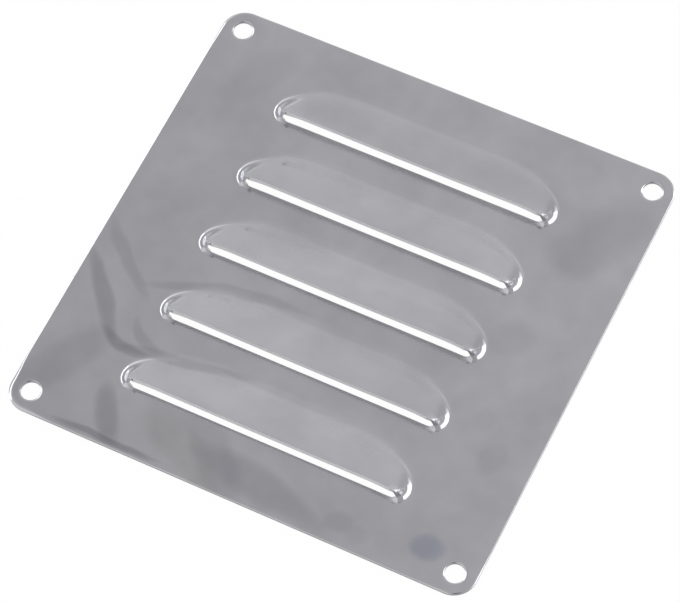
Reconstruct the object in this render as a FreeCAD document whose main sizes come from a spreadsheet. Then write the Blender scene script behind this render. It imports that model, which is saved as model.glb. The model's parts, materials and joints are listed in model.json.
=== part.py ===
import FreeCAD, Part
import math
import os

import Sketcher

# A louvred ventilation panel, pressed from one sheet of polished stainless steel.
# Millimetres. +X runs along the louvres, +Y from their mouths to their backs, +Z out of the face.
# The origin is the middle of the flat back face.

NODE = "louvred_panel"
LEVEL_TOLERANCE = 1.0e-4

# The driving sizes: alias, value, what it is.
SIZES = [
    ("panel_width", "127.0", "overall width, along the louvres"),
    ("panel_height", "126.0", "overall height, across the louvres"),
    ("sheet_gauge", "1.0", "thickness of the sheet"),
    ("corner_radius", "6.0", "plan radius of the four corners"),
    ("rim_rounding", "0.45", "rounding of the outer edge, face side"),
    ("rim_back_bevel", "0.15", "bevel of the outer edge, back side"),
    ("screw_hole_diameter", "5.2", "clear bore of the corner holes"),
    ("screw_hole_inset", "5.6", "hole centre in from both edges"),
    ("screw_hole_bevel", "0.3", "bevel of the holes, face side"),
    ("louvre_count", "5", "number of louvres"),
    ("lowest_slot_margin", "17.14", "lower edge of the panel to the lowest slot"),
    ("highest_slot_margin", "25.4", "upper edge of the panel to the highest slot"),
    ("hood_length", "78.4", "length of a hood where its walls meet the face, at its widest"),
    ("hood_depth", "12.9", "slot to the back line of the hood"),
    ("back_line_length", "34.0", "straight stretch of the back line"),
    ("tip_rise", "2.5", "slot to the widest place of the hood"),
    ("tip_setback", "0.9", "how far the slot stops short of the widest place"),
    ("end_run", "4.6", "how far each end of the hood leans in, from the face up to the lip"),
    ("lip_land", "0.2", "depth of the hood's top before the lip is trimmed"),
    ("mouth_height", "3.75", "face of the sheet to the underside of the lip"),
    ("foot_radius", "2.5", "bend where the hood rises from the face"),
    ("back_bend_radius", "1.5", "the same bend's rounding on the back of the sheet"),
    ("least_skin", "0.05", "share of the gauge that the back bend leaves beside the slot"),
]

# Worked out from the driving sizes: alias, formula, what it is.
# The hood's slope is where a plate of this gauge reaches from the back line to the mouth's height.
WORKED_OUT = [
    (
        "lowest_slot",
        "sizes.lowest_slot_margin - sizes.panel_height / 2",
        "place of the lowest slot, up from the middle",
    ),
    (
        "louvre_pitch",
        "(sizes.panel_height - sizes.lowest_slot_margin - sizes.highest_slot_margin)"
        " / max(sizes.louvre_count - 1; 1)",
        "slot to slot",
    ),
    (
        "slope_angle",
        "atan(sizes.mouth_height / sizes.hood_depth)"
        " + asin(sizes.sheet_gauge / sqrt(sizes.hood_depth ^ 2 + sizes.mouth_height ^ 2))",
        "slope of the hood, from the face",
    ),
    (
        "crest_height",
        "(sizes.hood_depth - sizes.lip_land) * tan(slope_angle)",
        "face of the sheet to the crest of the hood",
    ),
    (
        "end_angle",
        "atan(crest_height / sizes.end_run)",
        "slope of the hood's ends, from the face",
    ),
    (
        "lip_length",
        "sizes.hood_length - 2 * sizes.end_run",
        "full-height stretch of the lip",
    ),
    (
        "roof_height",
        "crest_height - sizes.sheet_gauge / cos(slope_angle)",
        "face of the sheet to the hollow's roof",
    ),
    (
        "end_inset",
        "sizes.sheet_gauge * tan(end_angle / 2)",
        "how far the hollow's ends stay inside the hood's, each on its own face of the sheet",
    ),
    (
        "hollow_length",
        "sizes.hood_length - 2 * end_inset",
        "length of the hollow at the back face",
    ),
    (
        "hollow_depth",
        "sizes.hood_depth - sizes.sheet_gauge * tan(slope_angle / 2)",
        "depth of the hollow at the back face",
    ),
    (
        "roof_length",
        "sizes.hood_length - 2 * roof_height / tan(end_angle)"
        " - 2 * sizes.sheet_gauge / sin(end_angle)",
        "length of the hollow at its roof",
    ),
    (
        "tip_radius",
        "(sizes.tip_setback ^ 2 + sizes.tip_rise ^ 2) / (2 * sizes.tip_setback)",
        "plan radius between the slot's end and the widest place",
    ),
    (
        "hollow_setback",
        "tip_radius - end_inset - sqrt((tip_radius - end_inset) ^ 2 - sizes.tip_rise ^ 2)",
        "how far the slot stops short of the hollow's widest place",
    ),
    (
        "crest_tip",
        "sizes.lip_land / 4",
        "tip of the hood's outline at the crest",
    ),
    (
        "back_rounding",
        "min(sizes.back_bend_radius; (1 - sizes.least_skin) * sizes.sheet_gauge / (1 - cos(end_angle)))",
        "rounding of the back bend, kept within the sheet beside the slot",
    ),
]


def make_sheet(doc, name, rows, prefix):
    """One spreadsheet: the name of each size, its value or formula, and what it is."""
    sheet = doc.addObject("Spreadsheet::Sheet", name)
    for number, (alias, value, meaning) in enumerate(rows, start=1):
        sheet.set(f"A{number}", alias)
        sheet.set(f"B{number}", prefix + value)
        sheet.setAlias(f"B{number}", alias)
        sheet.set(f"C{number}", meaning)
        doc.recompute()
    return sheet


def read(sheet, alias):
    """A cell's value as a plain number, an angle in degrees."""
    value = getattr(sheet, alias)
    return getattr(value, "Value", value)


def origin_feature(body, role):
    """The origin plane or axis of a body that has this role."""
    for feature in body.Origin.OriginFeatures:
        if feature.Role == role:
            return feature
    raise ValueError(role)


def new_sketch(body, name, role):
    """An empty sketch on one of the body's own origin planes."""
    sketch = body.newObject("Sketcher::SketchObject", name)
    sketch.AttachmentSupport = [(origin_feature(body, role), "")]
    sketch.MapMode = "FlatFace"
    return sketch


def bind(sketch, constraint, name, expression):
    """Adds a named constraint and ties its value to an expression."""
    index = sketch.addConstraint(constraint)
    sketch.renameConstraint(index, name)
    sketch.setExpression(f"Constraints.{name}", expression)


def close_chain(sketch, count):
    """Joins each element of a closed outline to the next one."""
    for index in range(count):
        sketch.addConstraint(Sketcher.Constraint("Coincident", index, 2, (index + 1) % count, 1))


def draw_plate(body, sizes):
    """The panel's blank: a rectangle about the origin."""
    half_width = sizes.panel_width / 2
    half_height = sizes.panel_height / 2
    corners = [
        FreeCAD.Vector(-half_width, -half_height, 0),
        FreeCAD.Vector(half_width, -half_height, 0),
        FreeCAD.Vector(half_width, half_height, 0),
        FreeCAD.Vector(-half_width, half_height, 0),
    ]
    sketch = new_sketch(body, "blank_outline", "XY_Plane")
    for index, corner in enumerate(corners):
        sketch.addGeometry(Part.LineSegment(corner, corners[(index + 1) % len(corners)]))
    close_chain(sketch, len(corners))
    for side in (0, 2):
        sketch.addConstraint(Sketcher.Constraint("Horizontal", side))
        sketch.addConstraint(Sketcher.Constraint("Vertical", side + 1))
    sketch.addConstraint(Sketcher.Constraint("Symmetric", 0, 1, 1, 2, -1, 1))
    width = Sketcher.Constraint("DistanceX", 0, 1, 0, 2, 2 * half_width)
    height = Sketcher.Constraint("DistanceY", 1, 1, 1, 2, 2 * half_height)
    bind(sketch, width, "width", "sizes.panel_width")
    bind(sketch, height, "height", "sizes.panel_height")
    return sketch


class HoodPlan:
    """
    The sizes of a hood's plan at one level.

    Each is a pair of an expression and its value now: the length and depth overall, the straight
    back line, and how far the tip rises and sets back between the widest place and the slot.
    """

    def __init__(self, sizes, worked_out, length, depth, tip_rise, tip_setback):
        self.sheets = {"sizes": sizes, "worked_out": worked_out}
        self.length = self.pair(length)
        self.depth = self.pair(depth)
        self.back_length = self.pair("sizes.back_line_length")
        self.tip_rise = self.pair(tip_rise)
        self.tip_setback = self.pair(tip_setback)

    def pair(self, alias):
        """The expression for a sheet's cell, and its value."""
        sheet, name = alias.split(".")
        return alias, read(self.sheets[sheet], name)


def draw_hood_outline(body, name, plan):
    """A hood's plan at one level: slot, back line, and a tip arc and a quarter ellipse at each end."""
    half_length = plan.length[1] / 2
    half_back = plan.back_length[1] / 2
    depth = plan.depth[1]
    rise = plan.tip_rise[1]
    setback = plan.tip_setback[1]
    slot_end = half_length - setback
    tip_radius = (setback ** 2 + rise ** 2) / (2 * setback)
    tip_angle = math.asin(rise / tip_radius)
    quarter = math.pi / 2
    upright = FreeCAD.Vector(0, 0, 1)

    def tip_circle(side):
        centre = FreeCAD.Vector(side * (half_length - tip_radius), rise, 0)
        return Part.Circle(centre, upright, tip_radius)

    def end_ellipse(side):
        centre = FreeCAD.Vector(side * half_back, rise, 0)
        return Part.Ellipse(centre, half_length - half_back, depth - rise)

    outline = [
        Part.LineSegment(FreeCAD.Vector(-slot_end, 0, 0), FreeCAD.Vector(slot_end, 0, 0)),
        Part.ArcOfCircle(tip_circle(1), -tip_angle, 0),
        Part.ArcOfEllipse(end_ellipse(1), 0, quarter),
        Part.LineSegment(FreeCAD.Vector(half_back, depth, 0), FreeCAD.Vector(-half_back, depth, 0)),
        Part.ArcOfEllipse(end_ellipse(-1), quarter, 2 * quarter),
        Part.ArcOfCircle(tip_circle(-1), 2 * quarter, 2 * quarter + tip_angle),
    ]
    slot, tip_right, end_right, back, end_left, tip_left = range(len(outline))
    sketch = new_sketch(body, name, "XY_Plane")
    for element in outline:
        sketch.addGeometry(element)
    close_chain(sketch, len(outline))
    for end in (end_right, end_left):
        long_axis = sketch.GeometryCount
        sketch.exposeInternalGeometry(end)
        sketch.addConstraint(Sketcher.Constraint("Horizontal", long_axis))
    sketch.addConstraint(Sketcher.Constraint("PointOnObject", slot, 2, -1))
    sketch.addConstraint(Sketcher.Constraint("Symmetric", slot, 1, slot, 2, -2))
    sketch.addConstraint(Sketcher.Constraint("Symmetric", back, 1, back, 2, -2))
    sketch.addConstraint(Sketcher.Constraint("Symmetric", end_right, 1, end_left, 2, -2))
    for end, tip, widest_point, back_point in ((end_right, tip_right, 1, 1), (end_left, tip_left, 2, 2)):
        sketch.addConstraint(Sketcher.Constraint("Horizontal", end, 3, end, widest_point))
        sketch.addConstraint(Sketcher.Constraint("Horizontal", tip, 3, end, widest_point))
        sketch.addConstraint(Sketcher.Constraint("Vertical", end, 3, back, back_point))
    measures = [
        ("length", ("DistanceX", end_left, 2, end_right, 1), plan.length),
        ("back_length", ("DistanceX", back, 2, back, 1), plan.back_length),
        ("depth", ("DistanceY", slot, 2, back, 1), plan.depth),
        ("tip_rise", ("DistanceY", slot, 2, end_right, 1), plan.tip_rise),
        ("tip_setback", ("DistanceX", slot, 2, end_right, 1), plan.tip_setback),
    ]
    for measure, places, (expression, value) in measures:
        bind(sketch, Sketcher.Constraint(*places, value), measure, expression)
    sketch.setExpression(".AttachmentOffset.Base.y", "worked_out.lowest_slot")
    return sketch


def draw_lip_trim(body, sizes, worked_out):
    """The wedge that trims the lip square to the sheet, drawn across the louvre."""
    mouth = sizes.sheet_gauge + sizes.mouth_height
    clearance = sizes.sheet_gauge
    top = sizes.sheet_gauge + worked_out.crest_height + clearance
    setback = (top - mouth) * math.tan(math.radians(read(worked_out, "slope_angle")))
    corners = [
        FreeCAD.Vector(0, mouth, 0),
        FreeCAD.Vector(setback, top, 0),
        FreeCAD.Vector(-clearance, top, 0),
        FreeCAD.Vector(-clearance, mouth, 0),
    ]
    sketch = new_sketch(body, "lip_trim_outline", "YZ_Plane")
    for index, corner in enumerate(corners):
        sketch.addGeometry(Part.LineSegment(corner, corners[(index + 1) % len(corners)]))
    close_chain(sketch, len(corners))
    for side in (1, 3):
        sketch.addConstraint(Sketcher.Constraint("Horizontal", side))
    sketch.addConstraint(Sketcher.Constraint("Vertical", 2))
    sketch.addConstraint(Sketcher.Constraint("PointOnObject", 0, 1, -2))
    top_height = "sizes.sheet_gauge * 2 + worked_out.crest_height"
    mouth_height = "sizes.sheet_gauge + sizes.mouth_height"
    run = f"(({top_height}) - ({mouth_height})) * tan(worked_out.slope_angle)"
    bind(sketch, Sketcher.Constraint("DistanceY", -1, 1, 0, 1, mouth), "mouth", mouth_height)
    bind(sketch, Sketcher.Constraint("DistanceY", -1, 1, 0, 2, top), "top", top_height)
    bind(sketch, Sketcher.Constraint("DistanceX", 0, 1, 0, 2, setback), "setback", run)
    bind(sketch, Sketcher.Constraint("DistanceX", 2, 2, 0, 1, clearance), "clearance", "sizes.sheet_gauge")
    sketch.setExpression(".AttachmentOffset.Base.x", "worked_out.lowest_slot")
    return sketch


def draw_screw_hole(body, sizes):
    """The screw hole in the lower left corner."""
    place = FreeCAD.Vector(
        sizes.screw_hole_inset - sizes.panel_width / 2,
        sizes.screw_hole_inset - sizes.panel_height / 2,
        0,
    )
    radius = sizes.screw_hole_diameter / 2
    sketch = new_sketch(body, "screw_hole_outline", "XY_Plane")
    sketch.addGeometry(Part.Circle(place, FreeCAD.Vector(0, 0, 1), radius))
    bind(sketch, Sketcher.Constraint("Radius", 0, radius), "radius", "sizes.screw_hole_diameter / 2")
    across = "sizes.panel_width / 2 - sizes.screw_hole_inset"
    up = "sizes.panel_height / 2 - sizes.screw_hole_inset"
    bind(sketch, Sketcher.Constraint("DistanceX", 0, 3, -1, 1, -place.x), "across", across)
    bind(sketch, Sketcher.Constraint("DistanceY", 0, 3, -1, 1, -place.y), "up", up)
    return sketch


def edges_where(shape, test):
    """The names of the shape's edges that pass a test."""
    return [f"Edge{number}" for number, edge in enumerate(shape.Edges, start=1) if test(edge)]


def is_level(edge, height):
    """Whether an edge lies wholly at one height."""
    box = edge.BoundBox
    return abs(box.ZMin - height) < LEVEL_TOLERANCE and abs(box.ZMax - height) < LEVEL_TOLERANCE


def is_upright(edge):
    """Whether an edge stands square to the face."""
    box = edge.BoundBox
    return box.XLength < LEVEL_TOLERANCE and box.YLength < LEVEL_TOLERANCE


def is_hole_rim(edge):
    """Whether an edge is a full circle."""
    return isinstance(edge.Curve, Part.Circle) and edge.isClosed()


def touches_outline(edge, sizes):
    """Whether an edge reaches the panel's outermost lines."""
    box = edge.BoundBox
    half_width = sizes.panel_width / 2
    half_height = sizes.panel_height / 2
    gaps = [half_width + box.XMin, half_width - box.XMax, half_height + box.YMin, half_height - box.YMax]
    return min(gaps) < LEVEL_TOLERANCE


def lies_on_slot(edge, slot_places):
    """Whether an edge is the straight cut of one of the slots."""
    box = edge.BoundBox
    if box.YLength > LEVEL_TOLERANCE:
        return False
    return any(abs(box.YMin - place) < LEVEL_TOLERANCE for place in slot_places)


def round_edges(body, name, base, edge_names, radius):
    """A rounding of the named edges, its radius tied to an expression."""
    fillet = body.newObject("PartDesign::Fillet", name)
    fillet.Base = (base, edge_names)
    fillet.setExpression("Radius", radius)
    return fillet


def bevel_edges(body, name, base, edge_names, size):
    """A bevel of the named edges, its size tied to an expression."""
    chamfer = body.newObject("PartDesign::Chamfer", name)
    chamfer.Base = (base, edge_names)
    chamfer.setExpression("Size", size)
    return chamfer


def add_blank(body, sizes):
    """The flat blank with its four round corners."""
    pad = body.newObject("PartDesign::Pad", "blank")
    pad.Profile = draw_plate(body, sizes)
    pad.setExpression("Length", "sizes.sheet_gauge")
    body.Document.recompute()
    corners = edges_where(pad.Shape, is_upright)
    corner_fillet = round_edges(body, "blank_corners", pad, corners, "sizes.corner_radius")
    body.Document.recompute()
    return corner_fillet


def add_loft(body, kind, name, lower, upper):
    """A straight-sided loft between two hood outlines, added or cut away."""
    loft = body.newObject(kind, name)
    loft.Profile = lower
    loft.Sections = [(upper, [""])]
    loft.Ruled = True
    return loft


def add_louvres(body, sizes, worked_out):
    """One louvre, lanced and raised, and its row of copies up the panel."""
    doc = body.Document
    foot_plan = HoodPlan(
        sizes,
        worked_out,
        length="sizes.hood_length",
        depth="sizes.hood_depth",
        tip_rise="sizes.tip_rise",
        tip_setback="sizes.tip_setback",
    )
    crest_plan = HoodPlan(
        sizes,
        worked_out,
        length="worked_out.lip_length",
        depth="sizes.lip_land",
        tip_rise="worked_out.crest_tip",
        tip_setback="worked_out.crest_tip",
    )
    hollow_plan = HoodPlan(
        sizes,
        worked_out,
        length="worked_out.hollow_length",
        depth="worked_out.hollow_depth",
        tip_rise="sizes.tip_rise",
        tip_setback="worked_out.hollow_setback",
    )
    roof_plan = HoodPlan(
        sizes,
        worked_out,
        length="worked_out.roof_length",
        depth="sizes.lip_land",
        tip_rise="worked_out.crest_tip",
        tip_setback="worked_out.crest_tip",
    )
    foot = draw_hood_outline(body, "hood_foot", foot_plan)
    foot.setExpression(".AttachmentOffset.Base.z", "sizes.sheet_gauge")
    crest = draw_hood_outline(body, "hood_crest", crest_plan)
    crest.setExpression(".AttachmentOffset.Base.z", "sizes.sheet_gauge + worked_out.crest_height")
    hollow_foot = draw_hood_outline(body, "hollow_foot", hollow_plan)
    roof = draw_hood_outline(body, "hollow_roof", roof_plan)
    roof.setExpression(".AttachmentOffset.Base.z", "sizes.sheet_gauge + worked_out.roof_height")
    trim_outline = draw_lip_trim(body, sizes, worked_out)
    doc.recompute()
    hood = add_loft(body, "PartDesign::AdditiveLoft", "hood", foot, crest)
    doc.recompute()
    hollow = add_loft(body, "PartDesign::SubtractiveLoft", "hood_hollow", hollow_foot, roof)
    doc.recompute()
    trim = body.newObject("PartDesign::Pocket", "lip_trim")
    trim.Profile = trim_outline
    trim.SideType = "Symmetric"
    trim.setExpression("Length", "sizes.panel_width")
    doc.recompute()
    louvres = body.newObject("PartDesign::LinearPattern", "louvre_row")
    louvres.Originals = [hood, hollow, trim]
    louvres.Direction = (origin_feature(body, "Y_Axis"), [""])
    louvres.Mode = "Spacing"
    louvres.setExpression("Offset", "worked_out.louvre_pitch")
    louvres.setExpression("Occurrences", "sizes.louvre_count")
    body.Tip = louvres
    doc.recompute()
    return louvres


def round_hood_feet(body, base, sizes, worked_out):
    """The soft bend round each hood, and its rounding on the back of the sheet."""
    lowest = read(worked_out, "lowest_slot")
    pitch = read(worked_out, "louvre_pitch")
    places = [lowest + index * pitch for index in range(int(sizes.louvre_count))]

    def foot_edges(shape, height, place):
        """The edges at this height that run round the hood of this slot."""

        def is_foot(edge):
            middle = edge.BoundBox.Center.y
            return (
                is_level(edge, height)
                and not touches_outline(edge, sizes)
                and not lies_on_slot(edge, places)
                and place < middle < place + pitch
            )

        return edges_where(shape, is_foot)

    bent = base
    for number, place in enumerate(places, start=1):
        edges = foot_edges(bent.Shape, sizes.sheet_gauge, place)
        bent = round_edges(body, f"hood_bend_{number}", bent, edges, "sizes.foot_radius")
        body.Document.recompute()
    for number, place in enumerate(places, start=1):
        edges = foot_edges(bent.Shape, 0, place)
        bent = round_edges(body, f"back_bend_{number}", bent, edges, "worked_out.back_rounding")
        body.Document.recompute()
    return bent


def round_rim(body, base, sizes):
    """The blank's outer edge, rounded on the face and bevelled on the back."""

    def is_rim(height):
        return lambda edge: is_level(edge, height) and touches_outline(edge, sizes)

    face_edges = edges_where(base.Shape, is_rim(sizes.sheet_gauge))
    face_rim = round_edges(body, "rim_face", base, face_edges, "sizes.rim_rounding")
    body.Document.recompute()
    back_edges = edges_where(face_rim.Shape, is_rim(0))
    back_rim = bevel_edges(body, "rim_back", face_rim, back_edges, "sizes.rim_back_bevel")
    body.Document.recompute()
    return back_rim


def add_screw_holes(body, sizes):
    """The four corner holes, with their face edges bevelled."""
    doc = body.Document
    hole = body.newObject("PartDesign::Pocket", "screw_hole")
    hole.Profile = draw_screw_hole(body, sizes)
    hole.SideType = "Symmetric"
    hole.Type = "ThroughAll"
    doc.recompute()
    holes = body.newObject("PartDesign::LinearPattern", "screw_holes")
    holes.Originals = [hole]
    holes.Direction = (origin_feature(body, "X_Axis"), [""])
    holes.Direction2 = (origin_feature(body, "Y_Axis"), [""])
    holes.Occurrences = 2
    holes.Occurrences2 = 2
    holes.setExpression("Length", "sizes.panel_width - 2 * sizes.screw_hole_inset")
    holes.setExpression("Length2", "sizes.panel_height - 2 * sizes.screw_hole_inset")
    body.Tip = holes
    doc.recompute()

    def is_face_rim(edge):
        return is_hole_rim(edge) and is_level(edge, sizes.sheet_gauge)

    rims = edges_where(holes.Shape, is_face_rim)
    bevel = bevel_edges(body, "screw_hole_rims", holes, rims, "sizes.screw_hole_bevel")
    doc.recompute()
    return bevel


def make_panel(doc, sizes, worked_out):
    """The whole panel, as one pressed sheet."""
    body = doc.addObject("PartDesign::Body", NODE)
    body.Label = NODE
    body.Placement = FreeCAD.Placement()
    add_blank(body, sizes)
    louvres = add_louvres(body, sizes, worked_out)
    bends = round_hood_feet(body, louvres, sizes, worked_out)
    round_rim(body, bends, sizes)
    add_screw_holes(body, sizes)
    return body


def check(doc, pieces):
    """Stops if any object failed or any piece isn't one sound solid."""
    for item in doc.Objects:
        if "Invalid" in item.State or "Error" in item.State:
            raise RuntimeError(f"{item.Name} failed: {item.State}")
    for piece in pieces:
        if piece.Shape.isNull() or not piece.Shape.isValid():
            raise RuntimeError(f"{piece.Label} has no sound shape")
        if len(piece.Shape.Solids) != 1:
            raise RuntimeError(f"{piece.Label} is not one solid")


def main():
    """Makes the document, checks it and writes each piece."""
    doc = FreeCAD.newDocument("louvred_panel_model")
    sizes = make_sheet(doc, "sizes", SIZES, "")
    worked_out = make_sheet(doc, "worked_out", WORKED_OUT, "=")
    pieces = [make_panel(doc, sizes, worked_out)]
    doc.recompute()
    check(doc, pieces)
    os.makedirs("parts", exist_ok=True)
    for piece in pieces:
        piece.Shape.exportStep(os.path.join("parts", f"{piece.Label}.step"))
        box = piece.Shape.optimalBoundingBox()
        print(f"{piece.Label}: {box.XLength:.2f} x {box.YLength:.2f} x {box.ZLength:.2f} mm,")
        print(f"  volume {piece.Shape.Volume:.1f} cubic mm, {len(piece.Shape.Faces)} faces")


main()
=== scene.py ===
"""A louvred ventilation panel, pressed from polished stainless steel, on a plain pale floor."""
import json
import logging
import math
from dataclasses import dataclass, field
from enum import Enum
from typing import Any

import bmesh
import bpy
import numpy as np
from mathutils import Matrix, Vector
from mathutils.geometry import delaunay_2d_cdt


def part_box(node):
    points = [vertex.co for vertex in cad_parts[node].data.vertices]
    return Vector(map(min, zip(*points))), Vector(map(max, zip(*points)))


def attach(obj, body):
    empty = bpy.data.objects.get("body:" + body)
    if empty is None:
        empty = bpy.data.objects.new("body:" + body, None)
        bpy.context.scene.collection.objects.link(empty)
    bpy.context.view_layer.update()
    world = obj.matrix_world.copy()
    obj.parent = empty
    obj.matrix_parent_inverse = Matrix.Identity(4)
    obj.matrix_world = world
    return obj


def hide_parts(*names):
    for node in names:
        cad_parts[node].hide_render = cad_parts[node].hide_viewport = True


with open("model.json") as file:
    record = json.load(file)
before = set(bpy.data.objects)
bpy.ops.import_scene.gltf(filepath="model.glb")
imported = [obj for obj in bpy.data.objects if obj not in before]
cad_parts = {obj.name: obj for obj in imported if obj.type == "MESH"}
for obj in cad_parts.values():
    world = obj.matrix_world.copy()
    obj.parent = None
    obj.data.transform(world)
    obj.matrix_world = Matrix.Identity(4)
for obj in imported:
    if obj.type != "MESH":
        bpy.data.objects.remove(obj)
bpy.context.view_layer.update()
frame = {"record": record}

# The panel's own sizes are in millimetres, and become metres where a mesh is written.
MM = 0.001
NODE = "louvred_panel"
BODY = "root"
SCREW_HOLES = "screw_holes"
WHITE = "#ffffff"
FULL_TURN = 2 * math.pi
QUARTER_TURN = math.pi / 2
GOLDEN_ANGLE = math.pi * (3 - math.sqrt(5))
SKIN_ATTRIBUTE = "steel_skin"
SCUFF_ATTRIBUTE = "die_scuff"
# Points of a mesh that are nearer than this are one, and so are points of a plan that is filled.
MERGE_DISTANCE = 0.001
PLAN_TOLERANCE = 1.0e-7
# The points inside a plan keep this share of their spacing from its loops.
RIM_CLEARANCE = 0.6
# A louvre's part of the sheet is divided into this many steps along the slot and across it.
TILE_STEPS_ALONG = 36
TILE_STEPS_ACROSS = 8
# A face carries its skin's number, and is of that skin when it comes this near to it.
SKIN_TOLERANCE = 0.4
# A scuff has faded out at this many times its half size from its middle, and is whole one half size
# nearer.
SCUFF_REACH = 1.5
# A streak has faded out where the squared distance from its line, in its own half sizes, is this.
STREAK_REACH = 2.2
# Each mouth in the record starts this far behind its slot.
MOUTH_SETBACK = 0.15

log = logging.getLogger("louvred_panel")


class Side(Enum):
    """The two sides of the sheet."""

    FACE = "face"
    BACK = "back"


class Skin(Enum):
    """How a part of the steel's surface came about, by the number its faces carry."""

    POLISHED = 0.0
    SHEARED = 1.0
    MILL = 2.0
    LANCED = 3.0


SIDE_SKIN = {Side.FACE: Skin.POLISHED, Side.BACK: Skin.MILL}


def linear_colour(code: str) -> tuple[float, float, float, float]:
    """Turns an sRGB hex colour into a linear one, by the numbers of the sRGB standard.

    Args:
        code: The colour, as six hex digits after a hash.

    Returns:
        Red, green, blue and an alpha of one.
    """
    channels = []
    for start in (1, 3, 5):
        value = int(code[start:start + 2], 16) / 255
        channels.append(value / 12.92 if value <= 0.04045 else ((value + 0.055) / 1.055) ** 2.4)
    return channels[0], channels[1], channels[2], 1.0


def add_node(tree: bpy.types.NodeTree, kind: str, inputs: dict[Any, Any] | None = None,
             **settings: Any) -> bpy.types.Node:
    """Adds one node to a tree, with its settings and links.

    Args:
        tree: The tree that gets the node.
        kind: The node's type.
        inputs: For each input, by name or number, its value or the socket that feeds it.
        settings: The node's own properties.

    Returns:
        The new node.
    """
    node = tree.nodes.new(kind)
    for name, value in settings.items():
        setattr(node, name, value)
    for key, value in (inputs or {}).items():
        if isinstance(value, bpy.types.NodeSocket):
            tree.links.new(value, node.inputs[key])
        else:
            node.inputs[key].default_value = value
    return node


def empty_tree(owner: bpy.types.Material | bpy.types.World) -> bpy.types.NodeTree:
    """Gives a material or a world a node tree with nothing in it.

    Args:
        owner: The material or world.

    Returns:
        Its tree.
    """
    owner.use_nodes = True
    owner.node_tree.nodes.clear()
    return owner.node_tree


def eased(share: np.ndarray) -> np.ndarray:
    """A share from nought to one, made to start and end gently."""
    return share ** 2 * (3 - 2 * share)


def towards(bearing: float, elevation: float) -> Vector:
    """The direction from the panel to a place in the room.

    Args:
        bearing: The angle round the panel from its +X side, in degrees.
        elevation: The angle over the floor, in degrees.

    Returns:
        A direction of length one.
    """
    turn, rise = math.radians(bearing), math.radians(elevation)
    return Vector((math.cos(rise) * math.cos(turn), math.cos(rise) * math.sin(turn), math.sin(rise)))


@dataclass
class MeshDraft:
    """Points and faces, gathered in millimetres before they become one mesh."""

    points: list[np.ndarray] = field(default_factory=list)
    scuffs: list[np.ndarray] = field(default_factory=list)
    faces: list[tuple[int, ...]] = field(default_factory=list)
    skins: list[float] = field(default_factory=list)
    count: int = 0

    def add_points(self, points: np.ndarray, scuff: np.ndarray | float = 0.0) -> np.ndarray:
        """Adds points.

        Args:
            points: An array whose last axis holds x, y and z.
            scuff: How far the die has scuffed the steel there, from nought to one.

        Returns:
            The points' numbers, in the array's own shape.
        """
        flat = points.reshape(-1, 3)
        numbers = np.arange(self.count, self.count + len(flat))
        self.points.append(flat)
        self.scuffs.append(np.broadcast_to(scuff, points.shape[:-1]).reshape(-1))
        self.count += len(flat)
        return numbers.reshape(points.shape[:-1])

    def add_rows(self, rows: np.ndarray, skin: Skin) -> None:
        """Joins neighbouring rows of a closed grid by four-sided faces.

        Args:
            rows: Point numbers, one closed row after the other.
            skin: The faces' skin.
        """
        turned = np.roll(rows, -1, axis=1)
        quads = np.stack([rows[:-1], turned[:-1], turned[1:], rows[1:]], axis=-1).reshape(-1, 4)
        self.faces.extend(map(tuple, quads.tolist()))
        self.skins.extend([skin.value] * len(quads))

    def add_flat(self, loops: list[np.ndarray], numbers: list[np.ndarray], height: float,
                 spacing: float, side: Side) -> None:
        """Fills the level ground between an outer loop and the holes in it.

        Args:
            loops: The plan of each loop, the outer one first.
            numbers: The numbers of the loops' points.
            height: The height of the ground.
            spacing: How far apart the points inside are.
            side: The side of the sheet that the ground is on.
        """
        inside, triangles = fill_between(loops, spacing)
        level = np.column_stack([inside, np.full(len(inside), height)])
        all_numbers = np.concatenate([*numbers, self.add_points(level)])
        self.faces.extend(tuple(all_numbers[list(corners)].tolist()) for corners in triangles)
        self.skins.extend([SIDE_SKIN[side].value] * len(triangles))

    def to_mesh(self, name: str) -> bpy.types.Mesh:
        """Writes the draft as a mesh in metres, its doubled points merged.

        Args:
            name: The mesh's name.

        Returns:
            The mesh.
        """
        mesh = bpy.data.meshes.new(name)
        mesh.from_pydata((np.concatenate(self.points) * MM).tolist(), [], self.faces)
        mesh.attributes.new(SKIN_ATTRIBUTE, "FLOAT", "FACE").data.foreach_set("value", self.skins)
        scuffs = np.concatenate(self.scuffs)
        mesh.attributes.new(SCUFF_ATTRIBUTE, "FLOAT", "POINT").data.foreach_set("value", scuffs)
        tidy_mesh(mesh, closed=False)
        return mesh


def tidy_mesh(mesh: bpy.types.Mesh, closed: bool, sharp_angle: float = 38.0) -> None:
    """Merges doubled points and, on a closed mesh, turns faces outwards and marks sharp edges.

    Args:
        mesh: The mesh, changed in place.
        closed: Whether the mesh is a closed shell.
        sharp_angle: The angle between faces, in degrees, past which an edge stays sharp.
    """
    work = bmesh.new()
    work.from_mesh(mesh)
    bmesh.ops.remove_doubles(work, verts=work.verts, dist=MERGE_DISTANCE * MM)
    if closed:
        bmesh.ops.recalc_face_normals(work, faces=work.faces)
        loose = sum(not edge.is_manifold for edge in work.edges)
        log.info("%s: %d points, %d faces, %d open edges", mesh.name, len(work.verts), len(work.faces), loose)
        for edge in work.edges:
            edge.smooth = edge.calc_face_angle(0.0) < math.radians(sharp_angle)
        for face in work.faces:
            face.smooth = True
    work.to_mesh(mesh)
    work.free()


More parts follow.
